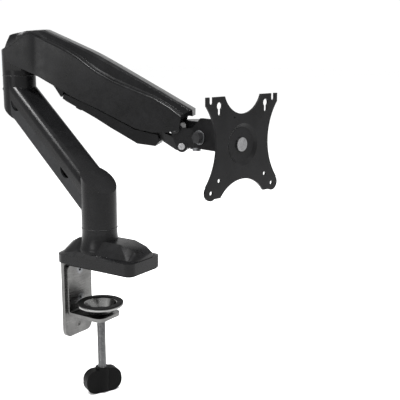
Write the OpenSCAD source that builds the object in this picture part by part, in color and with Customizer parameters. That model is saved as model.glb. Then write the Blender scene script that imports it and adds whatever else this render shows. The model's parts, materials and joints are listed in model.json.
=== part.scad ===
// Gas-spring monitor arm with a C-clamp base and a 75/100 mm screen plate.
// Millimetres. Origin on the axis of the base post, at the underside that rests on the desk.
// +Z up, +X to the user's right, +Y away from the user. The arm is drawn in its resting pose.

/* [Base] */
// Length of the base casting, front to back
base_len = 112; // [100:1:130]
// Width of the base casting
base_wid = 56; // [52:1:70]
// Distance from the post axis to the back of the base
base_back = 46; // [44:1:52]
// Height of the swivel seam above the desk
seam_z = 43; // [40:1:48]

/* [Desk clamp] */
// Lowest point of the clamp's back plate
back_plate_bottom = -90.5; // [-96:0.5:-86]
// Top face of the foot of the L-bracket
foot_top = -59; // [-60:0.5:-58.5]
// Radius of the clamp spindle
spindle_r = 4.9; // [4:0.1:5]
// Outer diameter of the pressure cup
cup_d = 53; // [46:1:56]
// Middle of the knob
knob_z = -140.5; // [-150:0.5:-138]
// Turn of the knob about the spindle
knob_turn = -26; // [-90:1:90]

/* [Lower arm] */
// Distance between the base axis and the elbow axis
lower_len = 160; // [150:1:180]
// Direction of the lower arm, anticlockwise from +X
lower_az = 77; // [0:1:180]
// Height of the elbow seam
elbow_z = 207; // [206:1:208]
// Outer radius of the collar and the elbow boss
boss_r = 20; // [19.5:0.1:20.5]

/* [Upper arm] */
// Direction of the upper arm, anticlockwise from +X
upper_az = -66.5; // [-180:0.5:180]
// Distance from the elbow axis to the head's swivel axis
upper_len = 222; // [221:0.5:223]
// Half of the width across the shell
shell_half = 22; // [21.5:0.1:22.5]

/* [Head] */
// Direction that the screen plate faces, anticlockwise from +X
head_az = -102.2; // [-180:0.1:180]
// Distance from the swivel axis to the tilt axis
tilt_x = 24; // [23.5:0.1:25]
// Height of the tilt axis
tilt_z = 138.5; // [138:0.5:139]
// Height of the screen plate's middle
plate_z = 133.7; // [133:0.1:135]
// Distance from the swivel axis to the front of the screen plate
plate_x = 76; // [75:0.5:78]
// Radius of the holes for the screen's bolts
hole_r = 2.5; // [2.2:0.1:2.8]

/* [Hidden] */
$fn = 64;
soft = 32;
big = 400;
run_gap = 0.05;

// Base
base_front = base_len - base_back;
pad_t = 2;
flange_t = 4.5;
front_corner = 9;
rear_corner = 14;
rim_z = 11.5;
front_rim_z = 15;
shoulder_z = 17;
crown_z = 31;
post_r = 12.5;
post_top = 78;
post_screw_r = 4;
base_screw_r = 3;
base_screw_x = [-15, 15];
base_screw_y = 24;
washer_t = 0.8;
collar_z = seam_z + washer_t;

// Clamp
plate_y = 35.9;
plate_t = 4.5;
plate_half = 22.5;
bracket_t = 3.9;
bracket_half = 19.5;
bracket_top = -3;
foot_t = 4;
foot_front = -15;
foot_corner = 9;
clamp_hole_r = 2.5;
clamp_hole_z = [-12, -45.5, -79];
spindle_y = 1.5;
nut_r = 8;
nut_t = 5;
cup_floor_z = foot_top + 1.2;
cup_floor_r = 14.5;
cup_h = 12.3;
cup_sheet = 1.5;
cup_mouth_r = 19;
cup_hole_r = 5.4;
rubber_t = 3;
neck_r = 3.5;
shoulder_top = cup_floor_z - 0.6;
seat_z = cup_floor_z + cup_sheet + 0.8;
seat_t = 1.2;
knob_len = 43.5;
knob_h = 28;
knob_t = 12;
knob_corner = 12;
knob_pin_r = 1.5;
knob_pin_len = 11;

// Lower arm: the bar's top edge crosses the base axis at bar_z and climbs at bar_rise
bar_z = 97.6;
bar_rise = 33.8;
bar_len = lower_len / cos(bar_rise);
bar_half = 18.5;
bar_round = 9;
bar_split = 17.5;
bar_depth = 35;
bush_r = 15;
shaft_r = 10;
elbow_bush_r = 12;
shaft_low = 172;
shaft_top = 210.5;
elbow_x = lower_len * cos(lower_az);
elbow_y = lower_len * sin(lower_az);
knuckle_z = elbow_z + 0.3;

// Upper arm: pivots in the vertical plane of the arm, as [distance from the elbow axis, height]
pivot_a = [4, 241];
pivot_b = [12, 219];
link_vec = [194.5, -93.5];
head_a = pivot_a + link_vec;
head_b = pivot_b + link_vec;
spring_a = [6, 229];
spring_b = [155, 181];
spring_len = norm(spring_b - spring_a);
spring_tilt = atan2(spring_a[1] - spring_b[1], spring_b[0] - spring_a[0]);
wall = 4;
eye_r = 13;
eye_half = 12.5;
inner_half = shell_half - wall;
knuckle_half = 17.5;
slot_half = 8.4;
link_half = 8;
link_t = 2.5;
pin_a_r = 4.5;
pin_b_r = 3.5;
head_pin_r = 4;
spring_pin_r = 3;
head_half = 13;
swivel_r = 13;
swivel_pin_r = 6;
swivel_low = 124;
swivel_mid = 147;

// Head
ear_half = 18;
ear_t = 3.5;
web_x = 66.7;
web_t = 3.5;
dish_r = 20;
dish_depth = 3;
sheet_t = 2.5;
rivet_r = 8;

// ---- shared shapes ----

// A flat outline in the arm's vertical plane, made solid from y0 to y1
module slab(points, y0, y1) {
    translate([0, y1, 0]) rotate([90, 0, 0]) linear_extrude(y1 - y0) polygon(points);
}

// A round bar across the arm's plane at p = [distance, height]
module cross(p, r, half) {
    translate([p[0], 0, p[1]]) rotate([90, 0, 0]) cylinder(r = r, h = 2 * half, center = true);
}

// A round bar across the arm's plane from y0 to y1
module cross_part(p, r, y0, y1) {
    translate([p[0], y1, p[1]]) rotate([90, 0, 0]) cylinder(r = r, h = y1 - y0);
}

module block(lo, hi) {
    translate(lo) cube(hi - lo);
}

// Ring about the Z axis from z0 to z1
module ring(r_in, r_out, z0, z1) {
    translate([0, 0, z0]) difference() {
        cylinder(r = r_out, h = z1 - z0);
        translate([0, 0, -1]) cylinder(r = r_in, h = z1 - z0 + 2);
    }
}

// Rectangle from lo to hi with rounded corners
module round_rect(lo, hi, r) {
    translate([lo[0] + r, lo[1]]) square([hi[0] - lo[0] - 2 * r, hi[1] - lo[1]]);
    translate([lo[0], lo[1] + r]) square([hi[0] - lo[0], hi[1] - lo[1] - 2 * r]);
    for (x = [lo[0] + r, hi[0] - r], y = [lo[1] + r, hi[1] - r])
        translate([x, y]) circle(r);
}

// Frames of the moving sections
module at_lower() {
    rotate([0, 0, lower_az]) children();
}

module at_upper() {
    translate([elbow_x, elbow_y, 0]) rotate([0, 0, upper_az]) children();
}

module at_swivel() {
    at_upper() translate([upper_len, 0, 0]) children();
}

module at_head() {
    at_swivel() rotate([0, 0, head_az - upper_az]) children();
}

// The screen plate's own plane: x to the right, y up, z towards the screen
module at_plate() {
    at_head() translate([plate_x, 0, plate_z]) rotate([90, 0, 90]) children();
}

// The lower arm's bar: x along it, z square to it, zero on its top face
module at_bar() {
    translate([0, 0, bar_z]) rotate([0, -bar_rise, 0]) children();
}

// ---- base ----

module base_outline(inset) {
    half = base_wid / 2 - inset;
    hull() {
        for (side = [-1, 1]) {
            translate([side * (half - front_corner), -base_front + inset + front_corner]) circle(front_corner);
            translate([side * (half - rear_corner), base_back - inset - rear_corner]) circle(rear_corner);
        }
    }
}

// Rim of the casting and the shallow facets inside it, higher at the front
module base_skirt() {
    front_y = -base_front + front_corner;
    hull() {
        translate([0, 0, pad_t]) linear_extrude(rim_z - pad_t) base_outline(0);
        for (side = [-1, 1]) translate([side * (base_wid / 2 - front_corner), front_y, pad_t])
            cylinder(r = front_corner, h = front_rim_z - pad_t);
        translate([0, 0, rim_z]) linear_extrude(2) base_outline(3);
        block([-22, -58, rim_z], [22, 18, shoulder_z]);
    }
}

// Steep facets that rise to the flat top, which falls away at both ends
module base_crown() {
    hull() {
        translate([0, 0, rim_z]) linear_extrude(2) base_outline(3.5);
        block([-22, -58, rim_z], [22, 18, shoulder_z - 0.3]);
        block([-12, -base_front + 1, rim_z], [12, -58, 20.5]);
        block([-12, -57, rim_z], [12, -50, 26.5]);
        block([-13, -40, rim_z], [13, 20, crown_z]);
        block([-7, 28, rim_z], [7, 35, 24]);
    }
}

module base_casting() {
    color("#1a1a1c") difference() {
        union() {
            base_skirt($fn = soft);
            base_crown($fn = soft);
            rotate_extrude() polygon([[0, rim_z], [24, rim_z], [24, 19.5], [22.5, 23], [21.2, 28],
                [20.4, 33], [boss_r, 38], [boss_r, seam_z], [0, seam_z]]);
        }
        translate([0, 0, pad_t + flange_t]) cylinder(r = post_r, h = big);
        block([-plate_half, -16, -1], [plate_half, plate_y + plate_t, pad_t + flange_t]);
        for (x = base_screw_x) translate([x, base_screw_y, 0]) cylinder(r = base_screw_r, h = 15);
    }
}

module base_pad() {
    color("#0c0c0c") linear_extrude(pad_t)
        round_rect([-base_wid / 2 + 2, -base_front + 2], [base_wid / 2 - 2, 31], 7);
}

module countersunk(r, head_r, len, z0) {
    translate([0, 0, z0]) {
        cylinder(r = r, h = len);
        cylinder(r1 = head_r, r2 = r, h = head_r - r);
    }
}

module base_screws() {
    color("#8d9093") for (x = base_screw_x) translate([x, base_screw_y, 0])
        countersunk(base_screw_r, 5.5, 12, pad_t);
}

module post() {
    color("#777a7d") difference() {
        translate([0, 0, pad_t + flange_t]) cylinder(r = post_r, h = post_top - pad_t - flange_t);
        translate([0, 0, pad_t]) cylinder(r = post_screw_r, h = 30);
    }
}

module post_bolt() {
    color("#8d9093") countersunk(post_screw_r, 8, 28, pad_t);
}

module base_washer() {
    color("#2b2b2d") ring(post_r + run_gap, boss_r + 0.5, seam_z, seam_z + washer_t - 0.1);
}

// ---- desk clamp ----

module clamp_back_plate() {
    color("#b9bbbd") difference() {
        union() {
            rotate([90, 0, 0]) translate([0, 0, -plate_y - plate_t]) linear_extrude(plate_t)
                round_rect([-plate_half, back_plate_bottom], [plate_half, pad_t + flange_t + 9], 9);
            block([-plate_half, -16, pad_t], [plate_half, plate_y + 1, pad_t + flange_t]);
        }
        block([-big, -big, pad_t + flange_t], [big, big, big]);
        for (z = clamp_hole_z) translate([0, 0, z]) rotate([-90, 0, 0]) cylinder(r = clamp_hole_r, h = big);
        countersunk(post_screw_r, 8, 10, pad_t);
        for (x = base_screw_x) translate([x, base_screw_y, 0]) countersunk(base_screw_r, 5.5, 10, pad_t);
    }
}

module l_profile() {
    outer = 6;
    inner = outer - bracket_t;
    y1 = plate_y;
    y0 = plate_y - bracket_t;
    z0 = foot_top - foot_t;
    difference() {
        union() {
            translate([y0, z0 + outer]) square([bracket_t, bracket_top - z0 - outer]);
            translate([foot_front, z0]) square([y1 - foot_front - outer, foot_t]);
            translate([y1 - outer, z0 + outer]) circle(outer);
        }
        translate([y1 - outer, z0 + outer]) circle(inner);
        translate([y1 - 2 * outer - 1, z0 + foot_t]) square([outer + 1, 2 * outer]);
        translate([y1 - outer, z0 + outer]) translate([-big, 0]) square([big + inner, big]);
    }
    translate([y0, z0 + outer]) square([bracket_t, bracket_top - z0 - outer]);
}

module clamp_l_bracket() {
    color("#b9bbbd") difference() {
        rotate([90, 0, 90]) linear_extrude(2 * bracket_half, center = true) l_profile();
        // rounded front corners of the foot
        for (side = [-1, 1]) translate([side * bracket_half, foot_front, foot_top - foot_t - 1])
            difference() {
                translate([-foot_corner, -1, 0]) cube([2 * foot_corner, foot_corner + 1, foot_t + 2]);
                translate([-side * foot_corner, foot_corner, -1]) cylinder(r = foot_corner, h = foot_t + 4);
            }
        // rounded top corners
        for (side = [-1, 1]) translate([side * bracket_half, plate_y - bracket_t - 1, bracket_top])
            rotate([-90, 0, 0]) difference() {
                translate([-5, -1, 0]) cube([10, 6, bracket_t + 2]);
                translate([-side * 5, 5, -1]) cylinder(r = 5, h = bracket_t + 4);
            }
        translate([0, spindle_y, foot_top - foot_t - 1]) cylinder(r = spindle_r + run_gap, h = foot_t + 2);
        for (z = [clamp_hole_z[0], clamp_hole_z[1]])
            translate([0, plate_y - bracket_t, z]) rotate([-90, 0, 0]) countersunk(clamp_hole_r, 5, 10, 0);
    }
}

module clamp_screws() {
    color("#9a9da0") for (z = [clamp_hole_z[0], clamp_hole_z[1]])
        translate([0, plate_y - bracket_t, z]) rotate([-90, 0, 0]) difference() {
            countersunk(clamp_hole_r, 5, bracket_t + plate_t, 0);
            translate([0, 0, -1]) cylinder(r = 1.7, h = 3, $fn = 6);
        }
}

module spindle_nut() {
    color("#9a9da0") translate([0, spindle_y, 0])
        ring(spindle_r + run_gap, nut_r, foot_top - foot_t - nut_t, foot_top - foot_t);
}

module clamp_spindle() {
    color("#a9abad") translate([0, spindle_y, 0]) difference() {
        union() {
            translate([0, 0, knob_z - 6]) cylinder(r = spindle_r, h = shoulder_top - knob_z + 6);
            translate([0, 0, shoulder_top - 1]) cylinder(r = neck_r, h = seat_z + seat_t + 1 - shoulder_top);
            translate([0, 0, seat_z + seat_t]) cylinder(r1 = 5.5, r2 = 4, h = 1.6);
        }
        translate([0, 0, knob_z]) rotate([0, 0, knob_turn]) rotate([90, 0, 0])
            cylinder(r = knob_pin_r, h = knob_pin_len, center = true);
    }
}

module spindle_washer() {
    color("#d8d8d2") translate([0, spindle_y, 0])
        ring(neck_r + run_gap, 7, seat_z + run_gap, seat_z + seat_t - run_gap);
}

module pressure_cup() {
    top = cup_floor_z + cup_h - rubber_t;
    color("#c6c8ca") translate([0, spindle_y, 0]) rotate_extrude() polygon([
        [cup_hole_r, cup_floor_z], [cup_floor_r, cup_floor_z],
        [cup_mouth_r + 1, top - cup_sheet], [cup_d / 2 - 0.6, top - cup_sheet],
        [cup_d / 2 - 0.6, top], [cup_mouth_r - 0.4, top],
        [cup_floor_r - 1, cup_floor_z + cup_sheet], [cup_hole_r, cup_floor_z + cup_sheet]]);
}

module cup_rubber() {
    top = cup_floor_z + cup_h;
    color("#101010") translate([0, spindle_y, 0]) rotate_extrude() difference() {
        round_rect([cup_mouth_r, top - rubber_t], [cup_d / 2, top], 1);
        translate([cup_mouth_r - 1, top - rubber_t - 1]) square([1.4, 1]);
    }
}

module clamp_knob() {
    color("#141414") translate([0, spindle_y, knob_z]) rotate([0, 0, knob_turn]) difference() {
        union() {
            rotate([90, 0, 0]) linear_extrude(knob_t, center = true)
                round_rect([-knob_len / 2, -knob_h / 2], [knob_len / 2, knob_h / 2], knob_corner);
            translate([0, 0, -knob_h / 2 + 1]) cylinder(r = 8, h = knob_h + 1);
        }
        translate([0, 0, -6]) cylinder(r = spindle_r, h = big);
        rotate([90, 0, 0]) cylinder(r = knob_pin_r, h = knob_pin_len, center = true);
    }
}

module knob_pin() {
    color("#8d9093") translate([0, spindle_y, knob_z]) rotate([0, 0, knob_turn]) rotate([90, 0, 0])
        cylinder(r = knob_pin_r, h = knob_pin_len, center = true);
}

// ---- lower arm ----

module bar_top_section() {
    translate([-bar_half + bar_round, -bar_split]) square([2 * (bar_half - bar_round), bar_split]);
    translate([-bar_half, -bar_split]) square([2 * bar_half, bar_split - bar_round]);
    for (side = [-1, 1]) translate([side * (bar_half - bar_round), -bar_round]) circle(bar_round);
}

module cover_section() {
    translate([-bar_half, -bar_depth + 4]) square([2 * bar_half, bar_depth - bar_split - 4]);
    translate([-bar_half + 4, -bar_depth]) square([2 * bar_half - 8, 8]);
    for (side = [-1, 1]) translate([side * (bar_half - 4), -bar_depth + 4]) circle(4);
}

module along_bar(x0, x1) {
    translate([x0, 0, 0]) rotate([90, 0, 90]) linear_extrude(x1 - x0) children();
}

module lower_arm() {
    color("#18181a") at_lower() difference() {
        union() {
            difference() {
                translate([0, 0, collar_z]) cylinder(r = boss_r, h = 80);
                at_bar() block([-big, -big, 0], [big, big, big]);
            }
            difference() {
                translate([lower_len, 0, 150]) cylinder(r = boss_r, h = elbow_z - 0.5 - 150);
                at_bar() block([-big, -big, -big], [big, big, -bar_depth]);
            }
            difference() {
                at_bar() along_bar(-12, bar_len) bar_top_section();
                translate([lower_len, 0, elbow_z - 0.5]) cylinder(r = 60, h = 60);
            }
        }
        at_bar() block([32, -14.5, -bar_split - 1], [168, 14.5, -5]);
        cylinder(r = bush_r, h = post_top + 2);
        translate([lower_len, 0, shaft_low]) cylinder(r = elbow_bush_r, h = big);
        translate([lower_len, 0, 0]) cylinder(r = 14.5, h = shaft_low);
    }
}

module lower_cable_cover() {
    color("#2d2e31") at_lower() difference() {
        at_bar() along_bar(-10, bar_len + 5) cover_section();
        at_bar() along_bar(-20, bar_len + 20)
            translate([-16, -bar_depth + 2.2]) square([32, bar_depth]);
        for (s = [0, lower_len]) translate([s, 0, 0]) cylinder(r = boss_r + 0.1, h = big);
        translate([-big, -big, 0]) cube([big, 2 * big, big]);
        translate([lower_len, -big, 0]) cube([big, 2 * big, big]);
        // cable openings in both side walls, near each end
        at_bar() for (x = [36, 160]) translate([x, 0, -bar_split + 5]) rotate([90, 0, 0])
            cylinder(r = 11, h = big, center = true);
    }
}

module base_bushes() {
    color("#e2ddd0") for (z = [collar_z + 0.1, 62])
        ring(post_r + run_gap, bush_r, z, z + 14);
}

module elbow_bush() {
    color("#e2ddd0") translate([elbow_x, elbow_y, 0])
        ring(shaft_r + run_gap, elbow_bush_r, shaft_low, elbow_z - 0.5);
}

module elbow_washer() {
    color("#2b2b2d") translate([elbow_x, elbow_y, 0])
        ring(shaft_r + run_gap, boss_r + 0.4, elbow_z - 0.5, elbow_z + 0.2);
}

// ---- elbow knuckle ----

module elbow_knuckle() {
    color("#18181a") at_upper() difference() {
        union() {
            translate([0, 0, knuckle_z]) cylinder(r = boss_r, h = 213 - knuckle_z);
            intersection() {
                union() {
                    translate([0, 0, knuckle_z]) cylinder(r = boss_r, h = 237 - knuckle_z);
                    cross(pivot_a, eye_r, eye_half);
                    cross(pivot_a, 9, knuckle_half);
                    intersection() {
                        slab([[-19, 237], [-8, 241], [16, 241], [18, 225], [-10, 225]], -big, big);
                        cylinder(r = boss_r, h = big);
                    }
                }
                block([-big, -knuckle_half, 0], [big, knuckle_half, big]);
            }
        }
        // slot for the link and the gas spring
        block([-3, -slot_half, 212.4], [30, slot_half, pivot_a[1]]);
        block([pivot_a[0] + pin_a_r + 1.5, -slot_half, 212.4], [30, slot_half, big]);
        block([14, -slot_half, 0], [30, slot_half, 214]);
        // the shell's front rests clear of the barrel
        slab([[17.5, 240], [30, 240], [30, 207.8], [17.5, 226]], -big, big);
        cylinder(r = shaft_r, h = shaft_top);
        cross_part(pivot_a, pin_a_r, -big, big);
        cross_part(pivot_b, pin_b_r, -15, big);
        cross_part(spring_a, spring_pin_r, -13, big);
    }
}

module elbow_shaft() {
    color("#8d9093") translate([elbow_x, elbow_y, 0]) difference() {
        translate([0, 0, shaft_low - 0.5]) cylinder(r = shaft_r, h = shaft_top - shaft_low + 0.5);
        translate([0, 0, shaft_low - 1]) cylinder(r = 4, h = 22);
    }
}

module elbow_retaining_washer() {
    color("#8d9093") translate([elbow_x, elbow_y, 0])
        ring(4, 13, shaft_low - 2.5, shaft_low - 0.5);
}

module elbow_bolt() {
    color("#6f7275") translate([elbow_x, elbow_y, 0]) {
        translate([0, 0, shaft_low - 6.5]) cylinder(r = 6.5, h = 4, $fn = 6);
        translate([0, 0, shaft_low - 3]) cylinder(r = 4, h = 22);
    }
}

module shell_pivot_pin() {
    color("#8d9093") at_upper() cross_part(pivot_a, pin_a_r, -inner_half - 2.9, shell_half);
}

// Two short pins, so that the gas spring passes between them
module link_pivot_pin() {
    color("#8d9093") at_upper() {
        cross_part(pivot_b, pin_b_r, -15, -5.3);
        cross_part(pivot_b, pin_b_r, 5.3, knuckle_half);
    }
}

module spring_pin() {
    color("#8d9093") at_upper() cross_part(spring_a, spring_pin_r, -13, knuckle_half);
}

// ---- upper arm ----

// Side face of the shell, from the rear top corner and round
side_face = [[-9.7, 237.5], [-8, 223.5], [11, 216], [50, 197], [100, 172], [158, 143.5], [184, 141],
    [205, 146], [207.5, 163], [194, 173], [175, 184], [152, 192.5], [125, 203.5], [106, 214],
    [84, 230], [62, 242.5], [45, 250], [22, 257.5]];
// Top line of the shell's middle
crown = [[-1, 256.5], [19, 260.5], [38, 262], [100, 235], [117, 226], [219, 169]];
// Underside of the deck that joins the side faces
deck = [[-1.2, 253.6], [4, 254.6], [22, 254], [45, 246], [62, 238.5], [84, 226], [106, 210], [125, 199.5],
    [152, 188.5], [175, 180], [194, 169], [205, 160.5]];

function reversed(list) = [for (i = [len(list) - 1:-1:0]) list[i]];
function lowered(list, d) = [for (p = list) p - [0, d]];
function part_of(list, i0, i1) = [for (i = [i0:i1]) list[i]];

// The same shape on both sides, from |y| = near to |y| = far
module both_sides(near, far) {
    for (side = [0, 1]) mirror([0, side, 0]) translate([0, far, 0]) rotate([90, 0, 0])
        linear_extrude(far - near) children();
}

module shell_body() {
    crown_half = 14;
    side_top = reversed(part_of(side_face, 8, 17));
    both_sides(inner_half, shell_half) polygon(side_face);
    slab(concat(side_top, reversed(part_of(deck, 2, 11))), -shell_half, shell_half);
    slab(concat(crown, [[219, 161]], reversed(deck)), -crown_half, crown_half);
    both_sides(inner_half, shell_half) translate(head_a) circle(7.5);
}

// Lugs that hold the gas spring's fixed eye
module spring_lugs(near, far) {
    both_sides(near, far) difference() {
        union() {
            translate(spring_b) circle(7);
            polygon([spring_b + [-7, 0], spring_b + [7, 0], spring_b + [7, 16], spring_b + [-7, 24]]);
        }
        translate(spring_b) circle(pin_b_r);
    }
}

module upper_arm_shell() {
    room_half = 11;
    color("#1b1b1d") at_upper() {
        difference() {
            shell_body();
            // room for the gas spring under the raised middle
            slab(concat(lowered(part_of(crown, 1, 4), 4), [[204, 173.5], [204, 140], [19, 200]]),
                -room_half, room_half);
            // pin bores, open on the far side only
            cross_part(pivot_a, pin_a_r + run_gap, -inner_half - 3, big);
            cross_part(head_a, head_pin_r, -inner_half - 3, big);
        }
        spring_lugs(5.2, room_half + 0.5);
    }
}

module spring_anchor_pin() {
    color("#8d9093") at_upper() cross(spring_b, pin_b_r, 11.5);
}

module head_pivot_pin() {
    color("#8d9093") at_upper() cross_part(head_a, head_pin_r, -inner_half - 2.9, shell_half);
}

module pivot_spacers() {
    color("#e2ddd0") at_upper() for (side = [-1, 1]) difference() {
        cross_part(head_a, 6.5, side < 0 ? -inner_half : head_half + 0.3,
            side < 0 ? -head_half - 0.3 : inner_half);
        cross(head_a, head_pin_r, big);
    }
}

// The gas spring lies along x, from its rod eye to its fixed eye
module at_spring() {
    at_upper() translate([spring_a[0], 0, spring_a[1]]) rotate([0, spring_tilt, 0]) children();
}

module lying(x0, x1, r) {
    translate([x0, 0, 0]) rotate([0, 90, 0]) cylinder(r = r, h = x1 - x0);
}

module gas_cylinder() {
    color("#202124") at_spring() difference() {
        union() {
            lying(72, spring_len - 12, 9);
            lying(spring_len - 13, spring_len, 4.5);
            cross([spring_len, 0], 6.5, 4.7);
        }
        lying(71, spring_len - 16, 4 + run_gap);
        cross([spring_len, 0], pin_b_r + run_gap, big);
    }
}

module gas_rod() {
    color("#c9cbcd") at_spring() difference() {
        union() {
            lying(5, 112, 4);
            cross([0, 0], 5.9, 4.7);
        }
        cross([0, 0], spring_pin_r + 1.7, big);
    }
}

module lower_link() {
    n = [0.433, 0.901] * 4;
    color("#3a3b3e") at_upper() difference() {
        union() {
            for (side = [-1, 1]) {
                y0 = side < 0 ? -link_half : link_half - link_t;
                slab([pivot_b + n, head_b + n, head_b - n, pivot_b - n], y0, y0 + link_t);
                cross_part(pivot_b, 5.6, y0, y0 + link_t);
                // deeper end at the head
                slab([[180, 134.5], [183, 130], [198, 120.5], head_b + [-2, -6.7], head_b], y0, y0 + link_t);
                cross_part(head_b, 7, y0, y0 + link_t);
            }
            slab([pivot_b + link_vec * 0.2 - n, pivot_b + link_vec * 0.9 - n,
                pivot_b + link_vec * 0.9 - n * 0.4, pivot_b + link_vec * 0.2 - n * 0.4],
                -link_half, link_half);
        }
        cross(pivot_b, pin_b_r + run_gap, big);
        cross(head_b, pin_b_r + run_gap, big);
    }
}

// Outline of the plastic cover under the link
module cover_shape(points, inner) {
    difference() {
        slab(points, -17, 17);
        slab(inner, -15, 15);
    }
}

module upper_cable_cover() {
    color("#26272a") at_upper() difference() {
        cover_shape([[63, 186], [61, 180.5], [66, 177], [102, 157.5], [120, 146.5], [153, 128], [175, 125.5],
            [180, 131], [178, 139], [150, 145], [98, 171]],
            [[60, 192], [66.5, 179.5], [102, 160], [120, 149], [154, 130.5], [174, 128], [176, 131],
            [176, 160], [98, 200]]);
        slab([[55, 193.5], [184, 131.5], [184, 190], [55, 240]], -link_half - 0.3, link_half + 0.3);
    }
    // ribs that clip the cover to the link
    color("#26272a") at_upper() for (t = [0.35, 0.75]) difference() {
        p = pivot_b + link_vec * t;
        slab([p + [-3, -2.3], p + [3, -5], p + [3, -20], p + [-3, -17]], -15.5, 15.5);
        slab([p + [-9, -0.2], p + [9, -8.8], p + [9, 8], p + [-9, 8]], -link_half - 0.05, link_half + 0.05);
    }
}

module cover_end_piece() {
    color("#26272a") at_upper() difference() {
        slab([[49, 197], [52, 193], [59, 182], [61.5, 184], [62, 190]], -17, 17);
        slab([[45, 200], [54, 193.5], [59, 185], [70, 190]], -15, 15);
        slab([[40, 200.8], [90, 176.8], [90, 240], [40, 240]], -link_half - 0.05, link_half + 0.05);
    }
}

// ---- head ----

module head_knuckle() {
    color("#18181a") at_upper() difference() {
        union() {
            cross(head_a, 7.2, head_half);
            cross(head_b, 7, head_half);
            slab([head_a + [-7, -1], head_a + [3, 6.5], [208.4, swivel_mid], [222, swivel_mid], [222, swivel_low],
                [212.8, swivel_low], [211, 121], head_b + [-1, -7], head_b + [-7, 0]],
                -head_half + 0.5, head_half - 0.5);
            translate([upper_len, 0, swivel_low]) cylinder(r = swivel_r, h = swivel_mid - swivel_low);
        }
        // pocket for the end of the link
        slab([[185, 110], [214.2, 110], [214.2, 134], [203, 137.5], [190, 142], [185, 142]],
            -slot_half, slot_half);
        cross(head_a, head_pin_r + run_gap, big);
        cross(head_b, pin_b_r, big);
        translate([upper_len, 0, 0]) cylinder(r = swivel_pin_r + run_gap, h = big);
        slab([[185, 110], [199, 118], [199, 122], [185, 134]], -big, big);
    }
}

module head_link_bolt() {
    color("#c9cbcd") at_upper() difference() {
        union() {
            cross(head_b, pin_b_r, head_half);
            cross_part(head_b, 4, -head_half - 2.2, -head_half);
            cross_part(head_b, 4, head_half, head_half + 2.2);
        }
        translate([head_b[0], -head_half - 1.2, head_b[1]]) rotate([90, 0, 0]) cylinder(r = 1.5, h = 5, $fn = 6);
    }
}

module swivel_washer() {
    color("#e2ddd0") at_swivel()
        ring(swivel_pin_r + run_gap, swivel_r, swivel_mid, swivel_mid + 0.6);
}

module tilt_block() {
    low = swivel_mid + 0.7;
    high = 156;
    color("#18181a") at_head() difference() {
        union() {
            translate([0, 0, low]) cylinder(r = swivel_r, h = high - low);
            translate([0, 0, swivel_low - 0.3]) cylinder(r = swivel_pin_r, h = low - swivel_low + 1);
            block([0, -swivel_r, low], [tilt_x + 6, swivel_r, high]);
            cross([tilt_x, tilt_z], 9.8, 14);
            block([tilt_x - 9.8, -swivel_r, tilt_z], [tilt_x + 9.8, swivel_r, low + 1]);
        }
        cross([tilt_x, tilt_z], 4 + run_gap, big);
        cylinder(r = 2, h = swivel_low + 16);
    }
}

module swivel_bolt() {
    color("#6f7275") at_head() translate([0, 0, swivel_low - 0.3]) {
        cylinder(r = 2, h = 16.3);
        translate([0, 0, -2]) cylinder(r = 8.5, h = 2);
        translate([0, 0, -4.7]) cylinder(r = 5, h = 2.7);
    }
}

module ear_outline() {
    // x towards the plate, y up
    rear = tilt_x - 10;
    difference() {
        union() {
            translate([tilt_x, tilt_z]) circle(13.5);
            polygon([[tilt_x, tilt_z - 13.5], [web_x + web_t, tilt_z - 14], [web_x + web_t, 161],
                [rear + 11, 161], [rear - 2, 149], [rear - 2, tilt_z]]);
        }
        translate([tilt_x, tilt_z]) circle(4 + run_gap);
    }
}

module tilt_bracket() {
    color("#1b1b1d") at_head() difference() {
        union() {
            for (side = [-1, 1])
                translate([0, side * (ear_half - ear_t / 2) + ear_t / 2, 0]) rotate([90, 0, 0])
                    linear_extrude(ear_t) ear_outline();
            block([web_x, -ear_half, tilt_z - 14], [web_x + web_t, ear_half, 161]);
        }
        translate([0, 0, plate_z]) rotate([0, 90, 0]) cylinder(r = 5 + run_gap, h = big);
    }
}

module tilt_bolt() {
    color("#2a2b2d") at_head() {
        cross_part([tilt_x, tilt_z], 4, -ear_half - 1.5, ear_half + 9);
        translate([tilt_x, -ear_half - 1.5, tilt_z]) rotate([90, 0, 0]) cylinder(r = 7, h = 5, $fn = 6);
    }
}

module tilt_nut() {
    color("#2a2b2d") at_head() translate([tilt_x, ear_half + 1.5, tilt_z]) rotate([-90, 0, 0])
        difference() {
            cylinder(r = 7, h = 6, $fn = 6);
            translate([0, 0, -1]) cylinder(r = 4, h = 8);
        }
}

module tilt_washers() {
    color("#6f7275") at_head() for (y0 = [-ear_half - 1.5, ear_half]) difference() {
        cross_part([tilt_x, tilt_z], 8.5, y0, y0 + 1.5);
        cross([tilt_x, tilt_z], 4 + run_gap, big);
    }
}

// Flat shape of the screen plate: four lobes left by circles cut from a rectangle
module screen_plate_shape() {
    difference() {
        union() {
            translate([-57.5, -49.5]) square([115, 105]);
            translate([-50, -57]) square([100, 10]);
            for (x = [-50.5, 50.5]) translate([x, -49.5]) circle(9.2);
        }
        for (side = [-1, 1]) {
            translate([side * 112, 2]) circle(70, $fn = 120);
            translate([side * 50, 50]) circle(2.75);
            translate([side * 50 - 2.75, 50]) square([5.5, 10]);
            translate([side * 37.5, 37.5]) circle(hole_r);
            translate([side * 37.5 - hole_r, 37.5]) square([2 * hole_r, 8]);
            translate([side * 37.5, 45.5]) circle(4.2);
            translate([side * 37.5, -37.5]) circle(hole_r);
            translate([side * 50, -50]) circle(hole_r);
        }
        translate([0, 66]) circle(31);
        translate([0, -84]) circle(44.7);
        translate([-14, 31.4]) circle(1.2);
        translate([-14, 17.5]) circle(1.5);
    }
}

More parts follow.
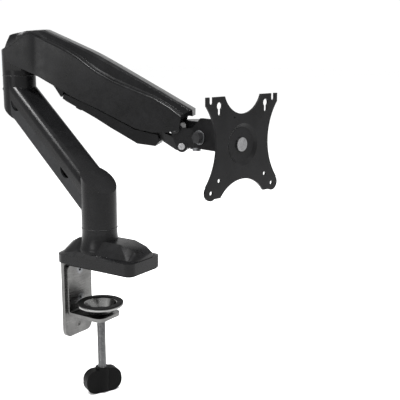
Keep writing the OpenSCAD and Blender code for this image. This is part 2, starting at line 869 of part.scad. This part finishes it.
module screen_plate() {
    color("#1b1b1d") at_plate() difference() {
        union() {
            translate([0, 0, -sheet_t]) linear_extrude(sheet_t) screen_plate_shape();
            translate([0, 0, -sheet_t - dish_depth])
                cylinder(r1 = dish_r + 3, r2 = dish_r + 7, h = dish_depth + 0.5);
        }
        translate([0, 0, -dish_depth]) cylinder(r1 = dish_r, r2 = dish_r + 4, h = dish_depth + 0.01);
        translate([0, 0, -big / 2]) cylinder(r = 5, h = big);
    }
}

module plate_rivet() {
    color("#c9cbcd") at_plate() {
        translate([0, 0, -dish_depth]) cylinder(r = rivet_r, h = 2);
        translate([0, 0, web_x - plate_x - 3]) cylinder(r = 5, h = plate_x - web_x + 1);
    }
}

module rivet_washer() {
    color("#8d9093") at_plate() translate([0, 0, web_x - plate_x - 2.9]) difference() {
        cylinder(r = 9, h = 2.8);
        translate([0, 0, -1]) cylinder(r = 5, h = 5);
    }
}

base_casting();
base_pad();
base_screws();
post();
post_bolt();
base_washer();
clamp_back_plate();
clamp_l_bracket();
clamp_screws();
spindle_nut();
clamp_spindle();
spindle_washer();
pressure_cup();
cup_rubber();
clamp_knob();
knob_pin();
lower_arm();
lower_cable_cover();
base_bushes();
elbow_bush();
elbow_washer();
elbow_knuckle();
elbow_shaft();
elbow_retaining_washer();
elbow_bolt();
shell_pivot_pin();
link_pivot_pin();
spring_pin();
upper_arm_shell();
spring_anchor_pin();
head_pivot_pin();
pivot_spacers();
gas_cylinder();
gas_rod();
lower_link();
upper_cable_cover();
cover_end_piece();
head_knuckle();
head_link_bolt();
swivel_washer();
tilt_block();
swivel_bolt();
tilt_bracket();
tilt_bolt();
tilt_nut();
tilt_washers();
screen_plate();
plate_rivet();
rivet_washer();
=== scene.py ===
"""Looks for the gas-spring monitor arm: soft edges on the CAD pieces, refined castings, materials, light."""

import json
from math import cos, exp, pi, radians, sin

import bmesh
import bpy
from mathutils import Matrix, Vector


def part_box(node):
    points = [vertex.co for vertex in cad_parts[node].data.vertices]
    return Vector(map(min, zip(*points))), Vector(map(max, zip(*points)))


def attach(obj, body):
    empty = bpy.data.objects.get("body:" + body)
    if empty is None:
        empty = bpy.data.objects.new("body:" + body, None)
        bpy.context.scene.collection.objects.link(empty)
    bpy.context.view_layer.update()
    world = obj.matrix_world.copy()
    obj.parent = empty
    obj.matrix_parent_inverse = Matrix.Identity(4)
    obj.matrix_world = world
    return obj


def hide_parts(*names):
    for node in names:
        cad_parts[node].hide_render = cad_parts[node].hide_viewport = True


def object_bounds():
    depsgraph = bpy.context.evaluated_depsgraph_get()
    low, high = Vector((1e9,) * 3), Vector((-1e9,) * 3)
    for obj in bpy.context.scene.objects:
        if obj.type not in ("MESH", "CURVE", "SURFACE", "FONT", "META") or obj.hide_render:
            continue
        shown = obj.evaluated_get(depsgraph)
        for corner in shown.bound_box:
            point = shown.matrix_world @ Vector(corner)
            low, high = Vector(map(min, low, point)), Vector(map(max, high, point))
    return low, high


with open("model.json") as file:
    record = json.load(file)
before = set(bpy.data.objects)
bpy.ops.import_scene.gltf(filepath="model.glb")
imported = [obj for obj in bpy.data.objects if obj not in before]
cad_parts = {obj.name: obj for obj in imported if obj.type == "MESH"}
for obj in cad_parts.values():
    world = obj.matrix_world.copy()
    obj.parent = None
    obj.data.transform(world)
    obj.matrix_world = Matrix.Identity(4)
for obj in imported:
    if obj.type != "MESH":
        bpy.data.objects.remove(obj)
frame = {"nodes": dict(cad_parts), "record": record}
CAD_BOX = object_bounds()
NODES = frame["nodes"]
MM = 0.001
UP = Vector((0.0, 0.0, 1.0))


# ---- node trees ----


def new_material(name):
    """A material with its shader, its output and the object's own coordinates."""
    mat = bpy.data.materials.new(name)
    mat.use_nodes = True
    tree = mat.node_tree
    tree.nodes.clear()
    shader = tree.nodes.new("ShaderNodeBsdfPrincipled")
    output = tree.nodes.new("ShaderNodeOutputMaterial")
    tree.links.new(shader.outputs["BSDF"], output.inputs["Surface"])
    place = tree.nodes.new("ShaderNodeTexCoord").outputs["Object"]
    return mat, tree, shader, place


def noise(tree, place, scale, detail=2.0, stretch=None):
    """Noise with cells of about 1 / scale metres, drawn out along an axis by stretch."""
    if stretch:
        mapping = tree.nodes.new("ShaderNodeMapping")
        mapping.inputs["Scale"].default_value = stretch
        tree.links.new(place, mapping.inputs["Vector"])
        place = mapping.outputs["Vector"]
    node = tree.nodes.new("ShaderNodeTexNoise")
    node.inputs["Scale"].default_value = scale
    node.inputs["Detail"].default_value = detail
    tree.links.new(place, node.inputs["Vector"])
    return node.outputs["Fac"]


def ramp(tree, value, stops):
    """Colour stops as (position, (r, g, b)) or (position, grey)."""
    node = tree.nodes.new("ShaderNodeValToRGB")
    elements = node.color_ramp.elements
    while len(elements) < len(stops):
        elements.new(0.5)
    for element, (position, colour) in zip(elements, stops):
        rgb = (colour,) * 3 if isinstance(colour, float) else colour
        element.position = position
        element.color = (*rgb, 1.0)
    tree.links.new(value, node.inputs["Fac"])
    return node.outputs["Color"]


def bump(tree, shader, height, strength, distance, after=None):
    node = tree.nodes.new("ShaderNodeBump")
    node.inputs["Strength"].default_value = strength
    node.inputs["Distance"].default_value = distance
    tree.links.new(height, node.inputs["Height"])
    if after:
        tree.links.new(after, node.inputs["Normal"])
    tree.links.new(node.outputs["Normal"], shader.inputs["Normal"])
    return node.outputs["Normal"]


def coating(name, dark, light, rough, peel, grain, depth, specular=0.5, coat=0.0):
    """Paint or moulded plastic: colour and gloss drift slowly, with a fine surface texture.

    peel and grain are texture sizes as cells per metre; depth is the grain's height in metres."""
    mat, tree, shader, place = new_material(name)
    drift = noise(tree, place, 45.0, 3.0)
    tree.links.new(ramp(tree, drift, [(0.3, dark), (0.7, light)]), shader.inputs["Base Color"])
    patches = noise(tree, place, 160.0, 3.0)
    gloss = ramp(tree, patches, [(0.3, rough - 0.05), (0.7, rough + 0.06)])
    tree.links.new(gloss, shader.inputs["Roughness"])
    shader.inputs["Specular IOR Level"].default_value = specular
    shader.inputs["Coat Weight"].default_value = coat
    shader.inputs["Coat Roughness"].default_value = 0.25
    wide = bump(tree, shader, noise(tree, place, peel, 1.0), 0.2, depth * 2.0)
    bump(tree, shader, noise(tree, place, grain, 2.0), 0.1, depth, wide)
    return mat


def bare_metal(name, dark, light, rough, brush=None, mottle=70.0, depth=0.00002):
    """Metal with slow mottling and, if brush is given, fine lines drawn out along one axis."""
    mat, tree, shader, place = new_material(name)
    shader.inputs["Metallic"].default_value = 1.0
    cloud = noise(tree, place, mottle, 5.0)
    tree.links.new(ramp(tree, cloud, [(0.28, dark), (0.72, light)]), shader.inputs["Base Color"])
    lines = noise(tree, place, 900.0, 3.0, brush)
    gloss = ramp(tree, lines, [(0.3, rough - 0.07), (0.7, rough + 0.09)])
    tree.links.new(gloss, shader.inputs["Roughness"])
    bump(tree, shader, lines, 0.4, depth)
    return mat


MATERIALS = {
    "black_powder": coating("black powder coat", (0.0028, 0.0028, 0.003), (0.005, 0.005, 0.0054),
                            0.27, 420.0, 1500.0, 0.000008, specular=0.12),
    "black_steel": coating("black coated steel", (0.0035, 0.0035, 0.0037), (0.006, 0.006, 0.0064),
                           0.32, 500.0, 1700.0, 0.00002, specular=0.11),
    "grey_plastic": coating("dark grey plastic", (0.008, 0.0083, 0.009), (0.012, 0.0124, 0.0134),
                            0.5, 700.0, 2600.0, 0.00004, specular=0.12),
    "cover_plastic": coating("black cover plastic", (0.0035, 0.0035, 0.0038), (0.006, 0.006, 0.0066),
                             0.42, 700.0, 2600.0, 0.00004, specular=0.1),
    "knob_plastic": coating("knob plastic", (0.002, 0.002, 0.002), (0.0035, 0.0035, 0.0035),
                            0.42, 600.0, 2200.0, 0.00006, specular=0.04),
    "washer_plastic": coating("washer plastic", (0.006, 0.006, 0.0065), (0.01, 0.01, 0.0108),
                              0.35, 600.0, 2400.0, 0.00002, specular=0.25),
    "pad_rubber": coating("black rubber", (0.003, 0.003, 0.003), (0.006, 0.006, 0.006),
                          0.6, 900.0, 2800.0, 0.00006, specular=0.1),
    "link_steel": coating("painted link", (0.006, 0.006, 0.0063), (0.009, 0.009, 0.0095),
                          0.42, 420.0, 1500.0, 0.00003, specular=0.2),
    "spring_black": coating("gas spring paint", (0.005, 0.005, 0.005), (0.008, 0.008, 0.008),
                            0.22, 300.0, 1500.0, 0.00001, specular=0.25, coat=0.2),
    "black_bolt": coating("black oxide", (0.008, 0.008, 0.0084), (0.014, 0.014, 0.0148),
                          0.33, 600.0, 2000.0, 0.00002, specular=0.35),
    "nylon": coating("black nylon", (0.006, 0.006, 0.0062), (0.01, 0.01, 0.0104),
                     0.45, 500.0, 1800.0, 0.00003, specular=0.2),
    "satin_steel": bare_metal("satin nickel steel", (0.075, 0.0743, 0.073), (0.12, 0.119, 0.117),
                              0.3, brush=(0.08, 1.0, 1.0)),
    "cup_steel": bare_metal("pressed steel", (0.15, 0.15, 0.148), (0.24, 0.24, 0.236),
                            0.2, brush=(1.0, 1.0, 0.1), mottle=110.0),
    "spindle_steel": bare_metal("zinc plated thread", (0.1, 0.1, 0.102), (0.17, 0.17, 0.173),
                                0.12, mottle=150.0),
    "zinc_steel": bare_metal("zinc plate", (0.1, 0.102, 0.106), (0.17, 0.172, 0.178), 0.34, mottle=200.0),
    "post_steel": bare_metal("turned steel", (0.2, 0.2, 0.206), (0.32, 0.32, 0.328),
                             0.3, brush=(0.06, 0.06, 1.0)),
    "pin_steel": bare_metal("ground steel", (0.04, 0.04, 0.0415), (0.07, 0.07, 0.072), 0.32),
    "rod_chrome": bare_metal("polished rod", (0.6, 0.6, 0.61), (0.7, 0.7, 0.71), 0.1),
    "bright_bolt": bare_metal("bright nickel", (0.16, 0.16, 0.163), (0.26, 0.26, 0.264), 0.3, mottle=200.0),
}


# ---- CAD pieces that stay: their own shape with softened edges ----

SAME_POINT = 0.00001  # m, vertices closer than this are one
EDGE_OTHERS = 0.25  # mm, edge width of the small pieces
EDGE = {
    "base_casting": 1.2, "lower_arm": 1.0, "elbow_knuckle": 0.8, "head_knuckle": 1.0,
    "tilt_block": 0.8, "clamp_knob": 1.6, "lower_cable_cover": 0.6, "upper_cable_cover": 0.6,
    "cover_end_piece": 0.4, "clamp_back_plate": 0.4, "clamp_l_bracket": 0.4, "screen_plate": 0.4,
    "tilt_bracket": 0.5,
}


def soften(obj, width, segments=2, angle=28.0):
    """Joins the CAD mesh's split corners and rounds its sharp edges, as modifiers."""
    weld = obj.modifiers.new("weld", "WELD")
    weld.merge_threshold = SAME_POINT
    bevel = obj.modifiers.new("edges", "BEVEL")
    bevel.width = width
    bevel.segments = segments
    bevel.limit_method = "ANGLE"
    bevel.angle_limit = radians(angle)
    bevel.harden_normals = False
    bevel.use_clamp_overlap = True
    for polygon in obj.data.polygons:
        polygon.use_smooth = True
    normals = obj.modifiers.new("normals", "WEIGHTED_NORMAL")
    normals.keep_sharp = True


SLOT = {row["node"]: row["material_slot"] for row in frame["record"]["subparts"]}

for name, slot in SLOT.items():
    node = NODES[name]
    node.data.materials.clear()
    node.data.materials.append(MATERIALS[slot])
    soften(node, EDGE.get(name, EDGE_OTHERS) * MM)


# ---- pieces with shapes of their own ----

JOINTS = {joint["name"]: joint for joint in frame["record"]["behaviour"]["joints"]}


def new_piece(name, mesh, node, body):
    """Puts a finished mesh in the scene in place of a CAD node, riding that node's body."""
    bmesh.ops.recalc_face_normals(mesh, faces=mesh.faces)
    data = bpy.data.meshes.new(name)
    mesh.to_mesh(data)
    mesh.free()
    piece = bpy.data.objects.new(name, data)
    bpy.context.scene.collection.objects.link(piece)
    data.materials.append(MATERIALS[SLOT[node]])
    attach(piece, body)
    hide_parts(node)
    return piece


class ArmPlane:
    """The upper arm's own plane: distance from the elbow axis, offset across the arm, height, in mm."""

    def __init__(self):
        self.origin = Vector(JOINTS["elbow_swivel"]["pos_m"][:2] + [0.0])
        self.across = -Vector(JOINTS["lift"]["axis"])
        self.along = self.across.cross(UP)

    def point(self, s, y, z):
        flat = self.origin + self.along * (s * MM) + self.across * (y * MM)
        return flat + UP * (z * MM)


ARM = ArmPlane()

# Stations along the shell: side face's top edge, crown and lower edge, each as (distance, height)
STATIONS = [
    ((-9.7, 237.5), (-1.6, 257.0), (-8.0, 223.5)),
    ((-3.0, 241.8), (1.5, 257.7), (-3.0, 221.5)),
    ((6.0, 247.4), (7.0, 258.5), (5.0, 218.3)),
    ((14.0, 252.6), (13.0, 259.4), (12.0, 215.6)),
    ((21.0, 257.0), (19.4, 260.5), (20.0, 212.2)),
    ((28.0, 256.1), (27.0, 261.1), (27.0, 209.3)),
    ((35.0, 253.6), (33.0, 261.5), (34.0, 205.9)),
    ((45.0, 250.0), (38.0, 261.8), (43.0, 200.9)),
    ((62.0, 242.5), (56.0, 254.0), (60.0, 191.6)),
    ((73.0, 236.6), (69.0, 248.4), (72.0, 184.3)),
    ((84.0, 229.8), (82.0, 242.7), (84.0, 178.5)),
    ((95.0, 221.4), (95.0, 237.1), (96.0, 173.4)),
    ((106.0, 213.7), (107.0, 231.3), (107.0, 168.6)),
    ((125.0, 203.3), (125.0, 221.6), (125.0, 159.7)),
    ((152.0, 192.5), (152.0, 206.5), (152.0, 146.5)),
    ((175.0, 183.8), (178.0, 191.9), (172.0, 142.2)),
    ((194.0, 172.9), (203.0, 177.9), (191.0, 142.6)),
    ((207.5, 163.0), (219.0, 169.0), (205.0, 146.0)),
]
REAR_STATIONS = 4  # those with the thin roof, over the elbow
ROOF_REAR, ROOF, ROOF_TIP = 3.4, 3.9, 7.8
NEAR_Y, FAR_Y = -22.0, 21.75  # side faces
CHEEK_Y = 18.0  # inside of the side walls
SIDE_LEVELS = (0.0, 0.04, 0.32, 0.64)  # of the side face's height, below its rounded top edge
EDGE_STEPS = 5
SIDE_POINTS = len(SIDE_LEVELS) + 1 + EDGE_STEPS
SHOULDER_POINTS = 4
RADIUS_SHUT, RADIUS_SCOOPED = 1.2, 4.0  # of the top edge
SCOOP_START, SCOOP_RUN = 24.0, 20.0  # where the shoulder starts to open, and how long that takes
VALLEY_DEPTH, VALLEY_AT, VALLEY_REACH = 2.2, 34.0, 7.0  # the dip across the side faces


def mix(a, b, t):
    return (a[0] + (b[0] - a[0]) * t, a[1] + (b[1] - a[1]) * t)


def openness(top):
    """0 where the shoulder is closed, at the elbow end, and 1 where it is scooped out."""
    return min(max((top[0] - SCOOP_START) / SCOOP_RUN, 0.0), 1.0)


def outer_half(top, crown, low, edge_y):
    """Outside of the section on one side, from the lower edge up to the crown, as (s, y, z)."""
    side = 1.0 if edge_y > 0 else -1.0
    opened = openness(top)
    radius = RADIUS_SHUT + (RADIUS_SCOOPED - RADIUS_SHUT) * opened
    height = top[1] - low[1]
    levels = [(t, 0.0) for t in SIDE_LEVELS]
    for angle in range(0, 91, 90 // EDGE_STEPS):
        a = radians(angle)
        levels.append((1.0 - radius * (1.0 - sin(a)) / height, radius * (1.0 - cos(a))))
    points = []
    for t, inset in levels:
        s, z = mix(low, top, t)
        if SIDE_LEVELS[1] < t < 1.0:
            inset += VALLEY_DEPTH * exp(-(((s - VALLEY_AT) / VALLEY_REACH) ** 2))
        points.append((s, edge_y - side * inset, z))
    # lip inside the edge, scoop's floor, its wall and the crown's flat: place and offset where
    # the shoulder is shut and where it is scooped out
    shape = [
        (0.5, 0.02, 20.3, 17.4),
        (0.9, 0.14, 18.2, 15.6),
        (0.95, 0.8, 14.0, 13.8),
        (0.99, 0.98, 9.0, 10.4),
    ]
    for shut, scooped, shut_y, scooped_y in shape:
        s, z = mix(mix(top, crown, shut), mix(top, crown, scooped), opened)
        points.append((s, side * (shut_y + (scooped_y - shut_y) * opened), z))
    return points


def inner_half(top, crown, low, side, roof):
    """Inside of the section on one side, from the crown down to the lower edge."""
    opened = openness(top)
    high = (crown[0], crown[1] - roof)
    shut = mix(top, high, 0.985)
    rise = mix(top, crown, 0.6)
    wall = mix(shut, (rise[0], rise[1] - 4.2), opened)
    corner = mix(shut, (top[0], top[1] - 4.4), opened)
    return [
        (high[0], side * 9.0, high[1] - 0.3),
        (wall[0], side * 12.6, wall[1] - 0.5),
        (corner[0], side * CHEEK_Y, corner[1] - 0.6),
        (low[0], side * CHEEK_Y, low[1]),
    ]


def shell_ring(index):
    """The closed section at a station: outside near, crown, outside far, then back along the inside."""
    top, crown, low = STATIONS[index]
    roof = ROOF
    if index < REAR_STATIONS:
        roof = ROOF_REAR
    if index == len(STATIONS) - 1:
        roof = ROOF_TIP
    ring = outer_half(top, crown, low, NEAR_Y)
    ring.append((crown[0], 0.0, crown[1]))
    ring += reversed(outer_half(top, crown, low, FAR_Y))
    ring += reversed(inner_half(top, crown, low, 1.0, roof))
    ring.append((crown[0], 0.0, crown[1] - roof))
    ring += inner_half(top, crown, low, -1.0, roof)
    return ring


def skin(mesh, rings, place, closed=True):
    """Skin between closed rings of equal length, with a face over each end if closed."""
    rows = [[mesh.verts.new(place(*p)) for p in ring] for ring in rings]
    count = len(rows[0])
    for a, b in zip(rows, rows[1:]):
        for i in range(count):
            j = (i + 1) % count
            mesh.faces.new((a[i], a[j], b[j], b[i]))
    if closed:
        mesh.faces.new(rows[0])
        mesh.faces.new(rows[-1])
    return rows


def shell_end(mesh, row):
    """Closes the wall's thickness at one end: side face, shoulder and roof, on both sides."""
    half = SIDE_POINTS + SHOULDER_POINTS
    inner = 4
    middle = 2 * half + inner + 1
    centre_out, centre_in = row[half], row[middle]
    near_out, near_in = row[:half], row[middle + 1:]
    far_out, far_in = row[2 * half:half:-1], row[middle - 1:2 * half:-1]
    for out, inside in ((near_out, near_in), (far_out, far_in)):
        roof, wall, corner, low = inside
        lip = out[SIDE_POINTS - 1:]
        mesh.faces.new((*out[:SIDE_POINTS], corner, low))
        mesh.faces.new((*lip[0:3], corner))
        mesh.faces.new((*lip[2:4], wall, corner))
        mesh.faces.new((*lip[3:5], roof, wall))
        mesh.faces.new((lip[4], centre_out, centre_in, roof))


def upper_arm_shell():
    """The shell's side faces, scooped shoulders and crown, with the lugs for the gas spring inside."""
    mesh = bmesh.new()
    rows = skin(mesh, [shell_ring(i) for i in range(len(STATIONS))], ARM.point, closed=False)
    shell_end(mesh, rows[0])
    shell_end(mesh, rows[-1])
    anchor_s, anchor_z, lug_r = 155.0, 181.0, 7.0
    half_turn = [radians(angle) for angle in range(180, 361, 15)]
    round_end = [(anchor_s + lug_r * cos(a), anchor_z + lug_r * sin(a)) for a in half_turn]
    lug = round_end + [(162.0, 199.0), (148.0, 206.0)]
    for near, far in ((-11.5, -5.2), (5.2, 11.5)):
        skin(mesh, [[(s, y, z) for s, z in lug] for y in (near, far)], ARM.point)
    piece = new_piece("shell_visual", mesh, "upper_arm_shell", "upper_arm")
    soften(piece, 1.0 * MM, 3, 24.0)


CLAMP_Y = 1.5  # mm, the spindle's axis


def circle(radius, segments):
    """Points of a circle about the spindle's axis, as (x, y) in mm."""
    turn = [2 * pi * i / segments for i in range(segments)]
    return [(radius * cos(a), CLAMP_Y + radius * sin(a)) for a in turn]


def clamp_spindle():
    """The spindle with its rolled thread, plain shank, neck and rounded tip."""
    pitch, crest, depth = 1.5, 4.88, 0.8
    low, high, step = -126.0, -60.5, 0.25
    segments = 32

    def radius(z, turn):
        phase = (z / pitch - turn) % 1.0
        fade = min((z - low) / 2.0, (high - z) / 1.0, 1.0)
        groove = max(0.0, 1.0 - abs(phase - 0.5) / 0.4)
        return crest - depth * fade * groove

    def place(x, y, z):
        return Vector((x, y, z)) * MM

    def plain_ring(z, r):
        return [(x, y, z) for x, y in circle(r, segments)]

    def thread_ring(z):
        return [(*circle(radius(z, i / segments), segments)[i], z) for i in range(segments)]

    foot = ((-146.4, 4.4), (-145.9, crest))
    neck_and_tip = ((-59.2, 4.86), (-58.5, 4.2), (-58.4, 3.5), (-54.4, 3.5), (-54.3, 5.3),
                    (-54.0, 5.45), (-53.2, 4.9), (-52.8, 4.0))
    steps = int((high - low) / step)
    rings = [plain_ring(z, r) for z, r in foot]
    rings += [thread_ring(low + (high - low) * k / steps) for k in range(steps + 1)]
    rings += [plain_ring(z, r) for z, r in neck_and_tip]
    mesh = bmesh.new()
    skin(mesh, rings, place)
    piece = new_piece("spindle_visual", mesh, "clamp_spindle", "clamp_screw")
    for polygon in piece.data.polygons:
        polygon.use_smooth = len(polygon.vertices) == 4


def lathe(mesh, profile, floor, segments=96):
    """Turns a closed profile of (radius, height) about the clamp's axis, heights taken from floor."""
    rows = []
    for radius, height in profile:
        z = floor + height * MM
        rows.append([mesh.verts.new((x * MM, y * MM, z)) for x, y in circle(radius, segments)])
    for a, b in zip(rows, rows[1:] + rows[:1]):
        for i in range(segments):
            j = (i + 1) % segments
            mesh.faces.new((a[i], a[j], b[j], b[i]))


def turned_piece(name, node, profile, floor, edge):
    """A turned piece of the cup's body, with edges rounded by edge mm."""
    mesh = bmesh.new()
    lathe(mesh, profile, floor)
    soften(new_piece(name, mesh, node, "cup"), edge * MM)


def pressure_cup():
    """The pressed cup with its curled flange, and the thin rubber ring that lies on it."""
    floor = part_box("pressure_cup")[0].z
    steel = [(5.4, 0.0), (13.9, 0.0), (14.8, 0.4), (19.3, 5.6), (20.4, 6.1), (20.4, 7.0), (21.4, 7.6),
             (25.3, 8.0), (26.2, 8.6), (26.5, 9.6), (26.3, 10.7), (25.7, 11.3), (18.9, 11.3),
             (18.2, 10.9), (13.4, 1.5), (5.4, 1.5)]
    rubber = [(19.0, 11.35), (25.6, 11.35), (26.2, 11.6), (26.2, 12.0), (25.7, 12.3), (19.6, 12.3),
              (19.0, 12.0)]
    turned_piece("cup_visual", "pressure_cup", steel, floor, 0.3)
    turned_piece("ring_visual", "cup_rubber", rubber, floor, 0.15)


upper_arm_shell()
clamp_spindle()
pressure_cup()


# ---- stage ----


def plain(name, grey, rough):
    mat, tree, shader, place = new_material(name)
    tint = ramp(tree, noise(tree, place, 2.0, 2.0), [(0.3, grey * 0.985), (0.7, grey)])
    tree.links.new(tint, shader.inputs["Base Color"])
    shader.inputs["Roughness"].default_value = rough
    return mat


def floor_sheet(height):
    size = 9.0
    mesh = bpy.data.meshes.new("floor")
    corners = [(-size, -size), (size, -size), (size, size), (-size, size)]
    mesh.from_pydata([(x, y, height) for x, y in corners], [], [(0, 1, 2, 3)])
    floor = bpy.data.objects.new("floor", mesh)
    bpy.context.scene.collection.objects.link(floor)
    mesh.materials.append(plain("pale floor", 0.985, 0.9))


def area_light(name, place, target, size, power):
    """A rectangular light at place that points at target, in metres and watts."""
    data = bpy.data.lights.new(name, "AREA")
    data.shape = "RECTANGLE"
    data.size, data.size_y = size
    data.energy = power
    light = bpy.data.objects.new(name, data)
    light.location = place
    direction = Vector(target) - Vector(place)
    light.rotation_euler = direction.to_track_quat("-Z", "Y").to_euler()
    bpy.context.scene.collection.objects.link(light)


def stage():
    """Pale floor just under the knob, a white world, and lights for the side, the ridges and the top."""
    floor_gap = 0.0005
    floor_sheet(CAD_BOX[0].z - floor_gap)
    centre, lower_bar = (0.05, 0.0, 0.08), (0.02, 0.08, 0.12)
    area_light("key", (-1.7, 0.15, 0.45), centre, (0.7, 0.5), 8.0)
    area_light("ridge", (-0.5, 0.7, 1.48), lower_bar, (0.25, 0.45), 26.0)
    area_light("front", (-0.1, -0.8, 1.65), centre, (0.3, 0.3), 42.0)
    world = bpy.data.worlds.new("studio")
    world.use_nodes = True
    background = world.node_tree.nodes["Background"]
    background.inputs["Color"].default_value = (1.0, 1.0, 1.0, 1.0)
    background.inputs["Strength"].default_value = 1.02
    bpy.context.scene.world = world
    bpy.context.scene.view_settings.view_transform = "Standard"


def camera():
    data = bpy.data.cameras.new("camera")
    data.lens = 72.0
    data.sensor_width = 36.0
    data.clip_start = 0.01
    cam = bpy.data.objects.new("camera", data)
    cam.location = (-0.6645, -0.5847, 0.2526)
    cam.rotation_euler = (radians(78.5), 0.0, radians(-56.0))
    bpy.context.scene.collection.objects.link(cam)
    bpy.context.scene.camera = cam


stage()
camera()
